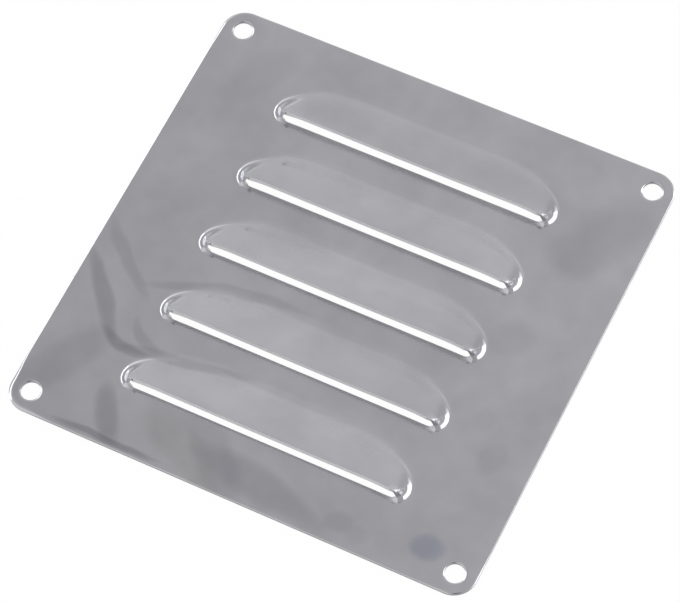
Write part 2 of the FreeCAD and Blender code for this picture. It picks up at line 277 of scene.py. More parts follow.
def within(points: np.ndarray, loops: list[np.ndarray]) -> np.ndarray:
    """Whether plan points lie inside the first loop and outside the others.

    Args:
        points: The plan points.
        loops: The loops, the outer one first.

    Returns:
        One truth value for each point.
    """
    inside = np.zeros(len(points), dtype=bool)
    for loop in loops:
        start, end = loop, np.roll(loop, -1, axis=0)
        for (x0, y0), (x1, y1) in zip(start, end):
            if y0 == y1:
                continue
            spans = (points[:, 1] < y0) != (points[:, 1] < y1)
            reach = x0 + (points[:, 1] - y0) * (x1 - x0) / (y1 - y0)
            inside ^= spans & (points[:, 0] < reach)
    return inside


def fill_between(loops: list[np.ndarray], spacing: float) -> tuple[np.ndarray, list[tuple[int, ...]]]:
    """Divides the ground between an outer loop and its holes into triangles.

    Args:
        loops: The plan of each loop, the outer one first.
        spacing: How far apart the points inside are.

    Returns:
        The points inside, and triangles that number the loops' points first and then those.
    """
    rim = np.concatenate(loops)
    low, high = loops[0].min(axis=0), loops[0].max(axis=0)
    row_gap = spacing * math.sqrt(3) / 2
    rows = []
    for number, y in enumerate(np.arange(low[1], high[1], row_gap)):
        across = np.arange(low[0] + (number % 2) * spacing / 2, high[0], spacing)
        rows.append(np.column_stack([across, np.full(len(across), y)]))
    inner = np.concatenate(rows)
    inner = inner[within(inner, loops)]
    nearest = np.min(np.linalg.norm(inner[:, None] - rim[None], axis=2), axis=1)
    inner = inner[nearest > RIM_CLEARANCE * spacing]
    edges = []
    start = 0
    for loop in loops:
        numbers = list(range(start, start + len(loop)))
        edges.extend(zip(numbers, numbers[1:] + numbers[:1]))
        start += len(loop)
    plan = np.concatenate([rim, inner])
    result = delaunay_2d_cdt([Vector(point) for point in plan], edges, [], 0, PLAN_TOLERANCE)
    points, triangles, sources = result[0], result[2], result[3]
    numbers = [source[0] for source in sources]
    middles = np.array([np.mean([points[corner] for corner in corners], axis=0) for corners in triangles])
    kept = [corners for corners, inside in zip(triangles, within(middles, loops)) if inside]
    return inner, [tuple(numbers[corner] for corner in corners) for corners in kept]


@dataclass
class SteelSheet:
    """The flat blank: its outline, rolled edges and screw holes, in millimetres."""

    width: float
    height: float
    hole_radius: float
    hole_reach: tuple[float, float]
    gauge: float = 1.0
    corner_radius: float = 6.0
    # Die rolls: how far in from the edge the face starts to droop, and how far it droops. The
    # lower right, upper right, upper left and lower left corners take their shares of the deeper
    # one, which fades out along the sides.
    rim_roll: tuple[float, float] = (0.45, 0.122)
    corner_roll: tuple[float, float] = (1.25, 0.44)
    corner_shares: tuple[float, ...] = (0.4, 0.1, 0.4, 1.0)
    corner_fade: float = 9.0
    hole_roll: tuple[float, float] = (0.62, 0.195)
    burr: float = 0.1
    burr_bevel: float = 0.03
    # How finely the mesh is divided.
    edge_spacing: float = 1.8
    ground_spacing: float = 2.6
    corner_steps: int = 18
    roll_steps: int = 7
    hole_steps: int = 56

    def rim(self) -> tuple[np.ndarray, np.ndarray, np.ndarray]:
        """The blank's outline.

        Returns:
            The plan points, anticlockwise, the directions into the sheet, and for each point how
            far it takes the corners' deeper die roll, from nought to one.
        """
        reach = np.array([self.width / 2 - self.corner_radius, self.height / 2 - self.corner_radius])
        signs = np.array([(1, -1), (1, 1), (-1, 1), (-1, -1)])
        points, inward, nearness = [], [], []
        for corner, sign in enumerate(signs):
            bearings = (corner - 1) * QUARTER_TURN + np.linspace(0, QUARTER_TURN, self.corner_steps + 1)
            outward = np.column_stack([np.cos(bearings), np.sin(bearings)])
            arc = reach * sign + self.corner_radius * outward
            side = reach * (signs[(corner + 1) % 4] - sign)
            length = np.linalg.norm(side)
            count = round(length / self.edge_spacing)
            steps = np.arange(1, count) / count
            points.extend([arc, arc[-1] + side * steps[:, None]])
            inward.extend([-outward, np.tile(-outward[-1], (count - 1, 1))])
            here, there = self.corner_shares[corner], self.corner_shares[(corner + 1) % 4]
            leaving, nearing = [
                eased(np.clip(1 - gone * length / self.corner_fade, 0, 1)) for gone in (steps, 1 - steps)
            ]
            nearness.extend([np.full(len(arc), here), here * leaving + there * nearing])
        return np.concatenate(points), np.concatenate(inward), np.concatenate(nearness)

    def hole(self, corner: tuple[int, int]) -> tuple[np.ndarray, np.ndarray]:
        """The screw hole of one corner.

        Args:
            corner: The signs of the corner's x and y.

        Returns:
            The plan points, anticlockwise, and the directions into the sheet.
        """
        bearings = np.linspace(0, FULL_TURN, self.hole_steps, endpoint=False)
        inward = np.column_stack([np.cos(bearings), np.sin(bearings)])
        return np.array(self.hole_reach) * corner + self.hole_radius * inward, inward

    def build_ground(self, opening: np.ndarray) -> MeshDraft:
        """The sheet round the louvres, with its edges and holes, on both sides.

        Args:
            opening: The outline of the block that the louvres fill.

        Returns:
            The draft of the mesh.
        """
        draft = MeshDraft()
        loops = {Side.FACE: [], Side.BACK: []}
        numbers = {Side.FACE: [], Side.BACK: []}
        points, inward, nearness = self.rim()
        roll = np.array(self.rim_roll) + nearness[:, None] * (np.array(self.corner_roll) - self.rim_roll)
        edges = [(points, inward, roll)]
        for corner in ((1, 1), (-1, 1), (-1, -1), (1, -1)):
            edges.append((*self.hole(corner), np.tile(self.hole_roll, (self.hole_steps, 1))))
        for points, inward, roll in edges:
            rows = self.edge_rows(points, inward, roll)
            grid = draft.add_points(rows)
            draft.add_rows(grid[:self.roll_steps + 1], Skin.POLISHED)
            draft.add_rows(grid[self.roll_steps:], Skin.SHEARED)
            for side, row in ((Side.FACE, 0), (Side.BACK, -1)):
                loops[side].append(rows[row][:, :2])
                numbers[side].append(grid[row])
        for side, level in ((Side.FACE, self.gauge), (Side.BACK, 0.0)):
            loops[side].append(opening)
            numbers[side].append(draft.add_points(np.column_stack([opening, np.full(len(opening), level)])))
            draft.add_flat(loops[side], numbers[side], level, self.ground_spacing, side)
        return draft

    def edge_rows(self, points: np.ndarray, inward: np.ndarray, roll: np.ndarray) -> np.ndarray:
        """The rows of a punched edge: its die roll, which droops more and more, its wall and its burr.

        Args:
            points: The edge's plan points.
            inward: The directions into the sheet.
            roll: For each point, how far the die roll reaches in and how deep it goes.

        Returns:
            Rows of points, from the face to the back.
        """
        shares = np.linspace(0, 1, self.roll_steps + 1)
        profile = [(roll[:, 0] * (1 - share), self.gauge - roll[:, 1] * share ** 2) for share in shares]
        for inset, level in ((0.0, self.burr), (self.burr_bevel, self.burr_bevel), (self.burr, 0.0)):
            profile.append((np.full(len(points), inset), np.full(len(points), level)))
        return np.stack([
            np.column_stack([points + inward * inset[:, None], level]) for inset, level in profile
        ])


@dataclass(frozen=True)
class Scuff:
    """A soft-edged patch that the die has scuffed, at the same place left and right of the hood's middle."""

    place: tuple[float, float]
    half_size: tuple[float, float]
    depth: float

    def wear(self, points: np.ndarray) -> np.ndarray:
        """How far the patch has scuffed the steel.

        Args:
            points: Places in the louvre.

        Returns:
            Values from nought to the patch's depth.
        """
        across = (np.abs(points[..., 0]) - self.place[0]) / self.half_size[0]
        up = (points[..., 1] - self.place[1]) / self.half_size[1]
        return self.depth * eased(np.clip(SCUFF_REACH - np.hypot(across, up), 0, 1))


@dataclass
class Louvre:
    """One lanced and raised hood and the sheet about it, in millimetres from the middle of its slot.

    The hood's height is that of the lowest of a family of planes, one for each plan bearing, which
    lie on the foot line and on the lip's end. It is evened out over a small disc, whose size is the
    softness of the bend, and differs between the foot and the shoulder and along the hood.
    """

    gauge: float
    pitch: float
    # The block of sheet about the louvres: half its width, and how far it reaches below the slots.
    half_block: float = 46.0
    slot_margin: float = 4.2
    # The hood's plan: its length and depth, the straight line of its back, and its rounded tips.
    hood_length: float = 78.4
    hood_depth: float = 12.9
    back_line_length: float = 34.0
    tip_rise: float = 2.5
    tip_setback: float = 1.8
    # The planes: how far inside the plan they meet the face at the tips, how far before the tips
    # the lip ends, and how far its end draws back for the planes of the slope.
    foot_inset: float = 0.2
    end_run: float = 3.3
    lip_retreat: float = 6.5
    # The mouth's height, the slope's bulge, and the lip's sag in its middle and droop all along.
    mouth_height: float = 3.75
    belly: float = 0.12
    lip_sag: float = 0.28
    lip_droop: float = 0.14
    # The radius of the disc that evens out the bends, at two places along the hood each, and the
    # share of the crest's height at which the shoulder's starts to take over from the foot's.
    foot_softness: tuple[float, float] = (2.1, 1.25)
    foot_softness_places: tuple[float, float] = (28.0, 36.0)
    shoulder_softness: tuple[float, float] = (1.4, 0.3)
    shoulder_softness_places: tuple[float, float] = (30.0, 34.4)
    shoulder_start: float = 0.22
    shoulder_run: float = 0.26
    scuffs: tuple[Scuff, ...] = (
        Scuff(place=(35.7, 0.4), half_size=(1.5, 1.5), depth=1.0),
        Scuff(place=(21.0, 10.8), half_size=(12.0, 2.4), depth=0.7),
    )
    # The slight rise of the sheet before the slot, how far out it starts, and over how long a
    # stretch it fades towards the slot's ends.
    front_rise: float = 0.13
    front_reach: float = 2.0
    front_fade: float = 7.0
    # How far outside the plan the foot's bend reaches, and the most of a short line that it takes.
    bend_reach: float = 2.3
    bend_share: float = 0.6
    # The cut: its width, the width and depth of the die roll along either edge, and how far from
    # its ends each of them closes. The slot's lower edge lifts with the hood near its ends.
    slit: float = 0.08
    slit_fade: float = 1.0
    slot_roll: tuple[float, float] = (0.22, 0.12)
    lip_roll: tuple[float, float] = (0.12, 0.08)
    roll_fade: float = 1.5
    end_lift_run: float = 2.6
    # How finely the mesh is divided. The lines out from the slot stand closer near its ends, and
    # those round a tip start along the last stretch of the lip.
    fine_run: float = 4.0
    tip_run: float = 2.2
    ground_spacing: float = 2.6
    slope_step: float = 0.04
    lower_stations: int = 15
    fine_stations: int = 9
    corner_stations: int = 7
    tip_stations: int = 9
    end_stations: int = 27
    back_stations: int = 12
    edge_rows: int = 6
    slope_rows: int = 9
    bend_rows: int = 12
    bearings: int = 64
    disc_points: int = 110
    lip_rounds: int = 3

    @property
    def slot_end(self) -> float:
        """Half the slot's length."""
        return self.hood_length / 2 - self.tip_setback

    @property
    def tip_radius(self) -> float:
        """The plan radius between the slot's end and the hood's widest place."""
        return (self.tip_setback ** 2 + self.tip_rise ** 2) / (2 * self.tip_setback)

    @property
    def tip_bearing(self) -> float:
        """The plan bearing of the foot line at the slot's end, below the line of the slot."""
        return -math.asin(self.tip_rise / self.tip_radius)

    @property
    def crest(self) -> float:
        """The hood's height over the slot's line, from the mouth's height and the gauge.

        Returns:
            The height over the sheet's face.
        """
        reach = math.hypot(self.hood_depth, self.mouth_height)
        slope = math.atan(self.mouth_height / self.hood_depth) + math.asin(self.gauge / reach)
        return self.hood_depth * math.tan(slope)

    def foot_reach(self, bearing: np.ndarray) -> np.ndarray:
        """How far the sharp foot line reaches in a plan bearing.

        Args:
            bearing: Angles from the slot's line towards the hood's back.

        Returns:
            The distance of the foot line's tangent at each bearing.
        """
        half_length = self.hood_length / 2
        half_back = self.back_line_length / 2
        across, up = np.cos(bearing), np.sin(bearing)
        tip = (half_length - self.tip_radius) * across + self.tip_rise * up + self.tip_radius
        end = half_back * across + self.tip_rise * up + np.hypot(
            (half_length - half_back) * across, (self.hood_depth - self.tip_rise) * up)
        return np.where(bearing < 0, tip, end)

    def sharp_height(self, x: np.ndarray, y: np.ndarray) -> np.ndarray:
        """The hood's height before the press softens it: what is below all the planes.

        The lip lies a little low all along and most of all in its middle, and the slope bulges by a
        parabola that is highest halfway.

        Args:
            x: Places along the slot.
            y: Places from the slot towards the hood's back.

        Returns:
            The height over the sheet's face.
        """
        half_lip = self.hood_length / 2 - self.end_run
        lowest = np.full(x.shape, np.inf)
        for bearing in np.linspace(self.tip_bearing, QUARTER_TURN, self.bearings):
            reach = float(self.foot_reach(np.array(bearing))) - self.foot_inset * math.cos(bearing)
            lip_end = half_lip - self.lip_retreat * math.sin(max(bearing, 0.0)) ** 4
            run = reach - lip_end * math.cos(bearing)
            plane = (reach - np.abs(x) * math.cos(bearing) - y * math.sin(bearing)) / run
            lowest = np.minimum(lowest, plane)
        share = np.clip(lowest, 0.0, None)
        middle = np.clip(1 - (x / half_lip) ** 2, 0.0, None)
        sag = self.lip_droop + self.lip_sag * middle ** 2
        return (self.crest - sag) * share + 4 * self.belly * share * np.clip(1 - share, 0.0, None)

    def evened_height(self, x: np.ndarray, y: np.ndarray, reach: np.ndarray) -> np.ndarray:
        """The sharp height, evened out over a small disc.

        Args:
            x: Places along the slot.
            y: Places from the slot towards the hood's back.
            reach: The disc's radius at each place.

        Returns:
            The height over the sheet's face.
        """
        number = np.arange(self.disc_points)
        radius = reach[..., None] * np.sqrt((number + 0.5) / self.disc_points)
        turn = number * GOLDEN_ANGLE
        near_x = x[..., None] + radius * np.cos(turn)
        near_y = y[..., None] + radius * np.sin(turn)
        return self.sharp_height(near_x, near_y).mean(axis=-1)

    def height(self, x: np.ndarray, y: np.ndarray) -> np.ndarray:
        """The hood's height as the press leaves it, with a wide bend at its foot and a tight shoulder.

        Args:
            x: Places along the slot.
            y: Places from the slot towards the hood's back.

        Returns:
            The height over the sheet's face.
        """
        foot = self.evened_height(x, y, np.interp(np.abs(x), self.foot_softness_places, self.foot_softness))
        shoulder = self.evened_height(
            x, y, np.interp(np.abs(x), self.shoulder_softness_places, self.shoulder_softness))
        share = eased(np.clip((foot / self.crest - self.shoulder_start) / self.shoulder_run, 0, 1))
        return foot * (1 - share) + shoulder * share

    def height_and_slope(self, x: np.ndarray, y: np.ndarray) -> tuple[np.ndarray, np.ndarray, np.ndarray]:
        """The hood's height and how steeply it rises along and across the slot.

        Args:
            x: Places along the slot.
            y: Places from the slot towards the hood's back.

        Returns:
            The height and its two slopes.
        """
        step = self.slope_step
        here = self.height(x, y)
        along = (self.height(x + step, y) - self.height(x - step, y)) / (2 * step)
        across = (self.height(x, y + step) - self.height(x, y - step)) / (2 * step)
        return here, along, across

    def stations(self) -> tuple[np.ndarray, np.ndarray, np.ndarray]:
        """The lines that run out from the slot, for the right half, from below to the back.

        Returns:
            The place along the slot where each starts, the plan point where each ends, and
            whether each starts on the slot's lower edge.
        """
        half_length, half_back = self.hood_length / 2, self.back_line_length / 2
        end = self.slot_end
        fine_start = end - self.fine_run
        lower_x = np.concatenate([
            np.linspace(0, fine_start, self.lower_stations, endpoint=False),
            fine_start + (end - fine_start) * np.sin(np.linspace(0, QUARTER_TURN, self.fine_stations)),
        ])
        lower = np.column_stack([lower_x, np.full(len(lower_x), -self.bend_reach)])
        around = np.linspace(-QUARTER_TURN, self.tip_bearing, self.corner_stations)[1:-1]
        corner = np.array([end, 0.0]) + self.bend_reach * np.column_stack([np.cos(around), np.sin(around)])
        tip = np.linspace(self.tip_bearing, 0, self.tip_stations)
        tip_centre = np.array([half_length - self.tip_radius, self.tip_rise])
        tip_reach = self.tip_radius + self.bend_reach
        tip_line = tip_centre + tip_reach * np.column_stack([np.cos(tip), np.sin(tip)])
        tip_start_x = end - self.tip_run * np.linspace(0, 1, len(tip))
        swing = np.linspace(0, QUARTER_TURN, self.end_stations)[1:]
        semi = np.array([half_length - half_back, self.hood_depth - self.tip_rise])
        on_ellipse = np.column_stack([np.cos(swing), np.sin(swing)]) * semi
        normal = np.column_stack([np.cos(swing) / semi[0], np.sin(swing) / semi[1]])
        normal /= np.linalg.norm(normal, axis=1, keepdims=True)
        end_line = np.array([half_back, self.tip_rise]) + on_ellipse + self.bend_reach * normal
        end_start_x = half_back + (tip_start_x[-1] - half_back) * np.cos(swing)
        back_x = np.linspace(half_back, 0, self.back_stations)[1:]
        back = np.column_stack([back_x, np.full(len(back_x), self.hood_depth + self.bend_reach)])
        start_x = np.concatenate([lower_x, np.full(len(around), end), tip_start_x, end_start_x, back_x])
        ends = np.concatenate([lower, corner, tip_line, end_line, back])
        is_lower = np.arange(len(start_x)) < len(lower_x) + len(around)
        return start_x, ends, is_lower

    def scuff(self, points: np.ndarray) -> np.ndarray:
        """How far the die has scuffed the steel, on the lip's two ends and along the back of the foot."""
        return np.max([patch.wear(points) for patch in self.scuffs], axis=0)

    def lip_line(self, x: np.ndarray) -> np.ndarray:
        """How far the lip's face edge stands back from the slot, so that the cut is square.

        Args:
            x: Places along the slot.

        Returns:
            The edge's places from the slot towards the hood's back.
        """
        y = np.zeros_like(x)
        for _ in range(self.lip_rounds):
            _, along, across = self.height_and_slope(x, y)
            y = np.clip(-across, 0, None) / np.sqrt(1 + along ** 2 + across ** 2) * self.gauge
        return y

    def plan_grid(self) -> tuple[np.ndarray, np.ndarray, np.ndarray]:
        """The plan of the lines that run out from the slot, for the right half, a row for each step.

        Returns:
            The plan points, how far each droops by the die roll, and whether each line starts on
            the slot's lower edge.
        """
        start_x, ends, is_lower = self.stations()
        slit = self.slit * np.clip((self.slot_end - start_x) / self.slit_fade, 0, 1)
        start_y = np.where(is_lower, -slit, 0.0)
        start_y[~is_lower] = self.lip_line(start_x[~is_lower])
        starts = np.column_stack([start_x, start_y])
        span = ends - starts
        length = np.linalg.norm(span, axis=1)

        roll_width = np.where(is_lower, self.slot_roll[0], self.lip_roll[0])
        turns = np.linspace(0, QUARTER_TURN, self.edge_rows)
        bend_width = np.minimum(self.bend_share * length, 2 * self.bend_reach)
        sloping = np.linspace(0, 1, self.slope_rows + 1)[1:, None]
        bending = np.linspace(0, 1, self.bend_rows + 1)[1:, None]
        distance = np.concatenate([
            roll_width * (1 - np.cos(turns))[:, None],
            roll_width + (length - bend_width - roll_width) * sloping,
            length - bend_width + bend_width * bending,
        ])

        roll_depth = np.where(is_lower, self.slot_roll[1], self.lip_roll[1])
        fade = np.clip((self.slot_end - start_x) / self.roll_fade, 0, 1)
        droop = np.zeros(distance.shape)
        droop[:self.edge_rows] = roll_depth * fade * (1 - np.sin(turns))[:, None]
        return starts[None] + span[None] * (distance / length)[..., None], droop, is_lower

    def surfaces(self, plan: np.ndarray, droop: np.ndarray, is_lower: np.ndarray) -> dict[Side, np.ndarray]:
        """Raises the plan to the louvre's face and, a gauge below it, its back.

        Args:
            plan: The plan points.
            droop: How far each of them droops by the die roll.
            is_lower: Whether each line starts on the slot's lower edge, where the sheet stays down
                but for a slight rise along its middle.

        Returns:
            The points of each side.
        """
        x, y = plan[..., 0], plan[..., 1]
        reach_x = np.where(is_lower & (x < self.slot_end), self.slot_end, x)
        lift, along, across = self.height_and_slope(reach_x, y)
        nearness = np.clip(1 - (self.slot_end - x) / self.end_lift_run, 0, 1)
        share = np.where(is_lower, eased(nearness), 1.0)
        lift, along, across = lift * share, along * share, across * share
        away = np.clip((self.slot_end - x) / self.front_fade, 0, 1)
        front = np.clip(1 + y / self.front_reach, 0, 1) * eased(away) * is_lower
        lift += self.front_rise * front ** 2
        steep = np.sqrt(1 + along ** 2 + across ** 2)
        return {
            Side.FACE: np.stack([x, y, self.gauge + lift - droop], axis=-1),
            Side.BACK: np.stack([
                x + along / steep * self.gauge,
                y + across / steep * self.gauge,
                self.gauge + lift - self.gauge / steep,
            ], axis=-1),
        }

    def build(self) -> MeshDraft:
        """One louvre and its part of the sheet, on both sides.

        Returns:
            The draft of the mesh.
        """
        surfaces = self.surfaces(*self.plan_grid())
        draft = MeshDraft()
        grids = {}
        for side, half in surfaces.items():
            points = mirror_right_half(half)
            grids[side] = draft.add_points(points, self.scuff(points))
        for side, grid in grids.items():
            draft.add_rows(grid, SIDE_SKIN[side])
        draft.add_rows(np.stack([grids[Side.FACE][0], grids[Side.BACK][0]]), Skin.LANCED)
        tile = self.tile_outline()
        hood = mirror_right_half(surfaces[Side.FACE][-1:])[0][:, :2]
        for side, level in ((Side.FACE, self.gauge), (Side.BACK, 0.0)):
            rim = draft.add_points(np.column_stack([tile, np.full(len(tile), level)]))
            draft.add_flat([tile, hood], [rim, grids[side][-1]], level, self.ground_spacing, side)
        return draft

    def tile_outline(self) -> np.ndarray:
        """The rectangle of sheet that one louvre takes, divided so that neighbours meet."""
        return divided_rectangle(self.half_block, -self.slot_margin, self.pitch - self.slot_margin, 1)

    def block_outline(self, first: float, count: int) -> np.ndarray:
        """The rectangle of sheet that a row of louvres takes.

        Args:
            first: The place of the lowest slot.
            count: How many louvres there are.

        Returns:
            The plan points, anticlockwise.
        """
        low = first - self.slot_margin
        return divided_rectangle(self.half_block, low, low + count * self.pitch, count)


def mirror_right_half(half: np.ndarray) -> np.ndarray:
    """Completes rows of points that run from the middle round the right side to the middle.

    Args:
        half: Rows of points of the right half.

    Returns:
        The closed rows.
    """
    left = half[:, 1:-1][:, ::-1] * (-1, 1, 1)
    return np.concatenate([half, left], axis=1)


def divided_rectangle(half_width: float, low: float, high: float, count: int) -> np.ndarray:
    """A rectangle about the middle line whose upright sides divide evenly into a number of tiles.

    Args:
        half_width: Half its width.
        low: Its lower side.
        high: Its upper side.
        count: How many tiles it holds, one above the other.

    Returns:
        The plan points, anticlockwise.
    """
    across_steps, up_steps = TILE_STEPS_ALONG, TILE_STEPS_ACROSS * count
    across = np.linspace(-half_width, half_width, across_steps + 1)
    up = np.linspace(low, high, up_steps + 1)
    return np.concatenate([
        np.column_stack([across[:-1], np.full(across_steps, low)]),
        np.column_stack([np.full(up_steps, half_width), up[:-1]]),
        np.column_stack([across[:0:-1], np.full(across_steps, high)]),
        np.column_stack([np.full(up_steps, -half_width), up[:0:-1]]),
    ])


@dataclass(frozen=True)
class PaintedReflectionStreak:
    """A soft, bent streak of painted reflection on the steel: darker or tinted tone in the base colour that
    stands in for the surroundings mirrored in the wavy sheet.

    Its sizes are in millimetres and its heading in degrees. The bend is how far its line bows for
    each square millimetre along it.
    """

    place: tuple[float, float]
    heading: float
    half_length: float
    half_width: float
    bend: float
    colour: str
    strength: float

    def lay_on(self, tree: bpy.types.NodeTree, place: bpy.types.NodeSocket,
               colour: bpy.types.NodeSocket) -> bpy.types.NodeSocket:
        """Tints a colour where the streak of painted reflection lies.

        Args:
            tree: The material's tree.
            place: The place on the panel in millimetres.
            colour: The colour so far.

        Returns:
            The tinted colour's socket.
        """
        local = add_node(tree, "ShaderNodeMapping", {
            "Vector": place,
            "Location": (*self.place, 0.0),
            "Rotation": (0.0, 0.0, math.radians(self.heading)),
            "Scale": (self.half_length, self.half_width, 1.0),
        }, vector_type="TEXTURE")
        parts = add_node(tree, "ShaderNodeSeparateXYZ", {"Vector": local.outputs["Vector"]}).outputs
        squared = add_node(tree, "ShaderNodeMath", {0: parts["X"], 1: parts["X"]},
                           operation="MULTIPLY").outputs["Value"]
        bow = self.bend * self.half_length ** 2 / self.half_width
        off_line = add_node(tree, "ShaderNodeMath", {0: squared, 1: -bow, 2: parts["Y"]},
                            operation="MULTIPLY_ADD").outputs["Value"]
        distance = add_node(tree, "ShaderNodeMath", {0: off_line, 1: off_line, 2: squared},
                            operation="MULTIPLY_ADD").outputs["Value"]
        share = add_node(tree, "ShaderNodeMapRange", {
            "Value": distance,
            "From Min": 0.0,
            "From Max": STREAK_REACH,
            "To Min": self.strength,
            "To Max": 0.0,
        }, interpolation_type="SMOOTHERSTEP").outputs["Result"]
        return add_node(tree, "ShaderNodeMix", {0: share, 6: colour, 7: linear_colour(self.colour)},
                        data_type="RGBA", blend_type="MULTIPLY").outputs[2]


@dataclass(frozen=True)
class Pattern:
    """A soft random pattern: the length of its waves in millimetres, and how finely they break up."""

    length: float
    detail: float


@dataclass(frozen=True)
class PolishedStainlessSteel:
    """Stainless steel sheet, cold rolled bright and then pressed.

    The rolls give it a soft mirror with a faint skin, and the press leaves it slightly wavy, so
    reflections of plain surroundings drift in tone across the flats. Painted reflections, darker and
    tinted streaks in the base colour, curve round the louvres' left ends and lie in a few patches on
    the right. The die has scuffed the ends of the lips and the back of the hoods' feet to a satin.
    The sheared rim and holes are matt and grey, the lips' lanced edges are fresh and painted paler,
    a painted highlight of the light that reaches them through the slots, and the back keeps the dull
    skin it left the mill with.
    """

    name: str = "polished_stainless_steel"
    colour: str = "#c9c9ce"
    dull_colour: str = "#bdbdc2"
    sheared_colour: str = "#959597"
    # The lanced edges' pale colour and low metallic are partly their fresh cut and partly a painted highlight
    # of the light that reaches them through the slots.
    lanced_edge_highlight_colour: str = "#dfdfe1"
    mill_colour: str = "#ececec"
    metallic: float = 1.0
    sheared_metallic: float = 0.15
    lanced_metallic: float = 0.1
    roughness: float = 0.13
    roughness_drift: tuple[float, float] = (0.8, 1.3)
    scuffed_roughness: float = 0.4
    sheared_roughness: float = 0.45
    mill_roughness: float = 0.6
    waves: Pattern = Pattern(length=30.0, detail=1.0)
    wave_height: float = 0.05
    clouds: Pattern = Pattern(length=21.0, detail=2.5)
    cloud_range: tuple[float, float] = (0.3, 0.7)
    flecks: Pattern = Pattern(length=4.5, detail=2.0)
    fleck_share: float = 0.22
    dull_range: tuple[float, float] = (0.36, 0.66)
    # The rolls' own grain is some hundredths of a millimetre across, which is too fine to show. It
    # is drawn as coarse as a few of the render's pixels.
    grain: Pattern = Pattern(length=0.9, detail=2.0)
    grain_height: float = 0.0006
    # How far the clouds bend the streaks' outlines, in millimetres.
    streak_ripple: float = 2.5
    # Painted reflections in the base colour: first the dark streaks at the left, then the tints above
    # the lower edge, and then the small patches on the right and the broad patches.
    painted_reflection_streaks: tuple[PaintedReflectionStreak, ...] = (
        PaintedReflectionStreak((-55.3, -26.0), -49.5, 11.5, 1.8, 0.002, "#8f8f94", 0.33),
        PaintedReflectionStreak((-43.3, -37.2), -16.0, 6.0, 1.4, 0.030, "#8f8f94", 0.36),
        PaintedReflectionStreak((-27.0, -34.9), 8.0, 15.0, 1.5, 0.0, "#9c9ca2", 0.26),
        PaintedReflectionStreak((-53.5, -15.0), -42.0, 11.0, 1.8, 0.006, "#a2a2a8", 0.22),
        PaintedReflectionStreak((-26.0, -12.8), 13.0, 18.0, 1.5, -0.004, "#a2a2a8", 0.24),
        PaintedReflectionStreak((-39.8, -33.3), -36.0, 5.0, 1.4, 0.060, "#a0a0a6", 0.22),
        PaintedReflectionStreak((-38.0, -55.5), -54.0, 7.5, 2.6, 0.014, "#88888c", 0.30),
        PaintedReflectionStreak((-35.0, -61.3), -1.0, 12.0, 0.9, 0.0, "#7c7c80", 0.36),
        PaintedReflectionStreak((-17.0, -56.0), -30.0, 12.0, 4.5, 0.0, "#cfcdbe", 0.26),
        PaintedReflectionStreak((-9.0, -54.5), -42.0, 12.0, 4.4, 0.0, "#9a9ba8", 0.19),
        PaintedReflectionStreak((6.0, -57.0), -10.0, 16.0, 4.0, 0.0, "#a9aab4", 0.32),
        PaintedReflectionStreak((-55.0, -47.0), 60.0, 13.0, 4.5, 0.0, "#a9aab2", 0.20),
        PaintedReflectionStreak((49.8, -53.6), 10.0, 3.6, 3.2, 0.0, "#7b8fc6", 0.28),
        PaintedReflectionStreak((27.5, -56.6), 20.0, 3.2, 2.6, 0.0, "#94969e", 0.15),
        PaintedReflectionStreak((32.5, -58.4), 50.0, 2.8, 2.4, 0.0, "#9799a0", 0.11),
        PaintedReflectionStreak((43.4, 4.8), 40.0, 5.2, 4.0, 0.0, "#a6a8b0", 0.11),
        PaintedReflectionStreak((53.8, -26.5), 70.0, 4.4, 3.0, 0.0, "#a5a2a6", 0.11),
        PaintedReflectionStreak((47.0, -18.0), 80.0, 3.0, 2.4, 0.0, "#a9a9ae", 0.08),
        PaintedReflectionStreak((-47.0, 48.0), 62.0, 9.0, 4.6, 0.0, "#a4a3aa", 0.08),
        PaintedReflectionStreak((2.0, 43.0), 0.0, 36.0, 6.0, 0.0, "#cbcbc4", 0.26),
        PaintedReflectionStreak((52.0, 40.0), 60.0, 13.0, 7.0, 0.0, "#b4b4b2", 0.2),
    )

    def make(self) -> bpy.types.Material:
        """The material, with its patterns on the object's own coordinates.

        Returns:
            The material.
        """
        material = bpy.data.materials.new(self.name)
        tree = empty_tree(material)
        place = add_node(tree, "ShaderNodeTexCoord").outputs["Object"]
        skin, scuff = [
            add_node(tree, "ShaderNodeAttribute", attribute_name=name).outputs["Fac"]
            for name in (SKIN_ATTRIBUTE, SCUFF_ATTRIBUTE)
        ]
        sheared, mill, lanced = [
            add_node(tree, "ShaderNodeMath", {0: skin, 1: kind.value, 2: SKIN_TOLERANCE},
                     operation="COMPARE").outputs["Value"]
            for kind in (Skin.SHEARED, Skin.MILL, Skin.LANCED)
        ]
        waves, clouds, flecks, grain = [
            add_node(tree, "ShaderNodeTexNoise", {
                "Vector": place,
                "Scale": 1 / (pattern.length * MM),
                "Detail": pattern.detail,
            }).outputs["Fac"]
            for pattern in (self.waves, self.clouds, self.flecks, self.grain)
        ]
        normal = None
        for height, depth in ((waves, self.wave_height), (grain, self.grain_height)):
            bump = add_node(tree, "ShaderNodeBump", {
                "Height": height,
                "Distance": depth * MM,
                "Strength": 1.0,
            })
            if normal:
                tree.links.new(normal, bump.inputs["Normal"])
            normal = bump.outputs["Normal"]
        roughness = add_node(tree, "ShaderNodeMapRange", {
            "Value": clouds,
            "From Min": self.cloud_range[0],
            "From Max": self.cloud_range[1],
            "To Min": self.roughness * self.roughness_drift[0],
            "To Max": self.roughness * self.roughness_drift[1],
        }).outputs["Result"]
        for share, level in ((scuff, self.scuffed_roughness), (sheared, self.sheared_roughness),
                             (mill, self.mill_roughness), (lanced, self.sheared_roughness)):
            roughness = add_node(tree, "ShaderNodeMapRange", {
                "Value": share,
                "To Min": roughness,
                "To Max": level,
            }).outputs["Result"]
        metallic = self.metallic
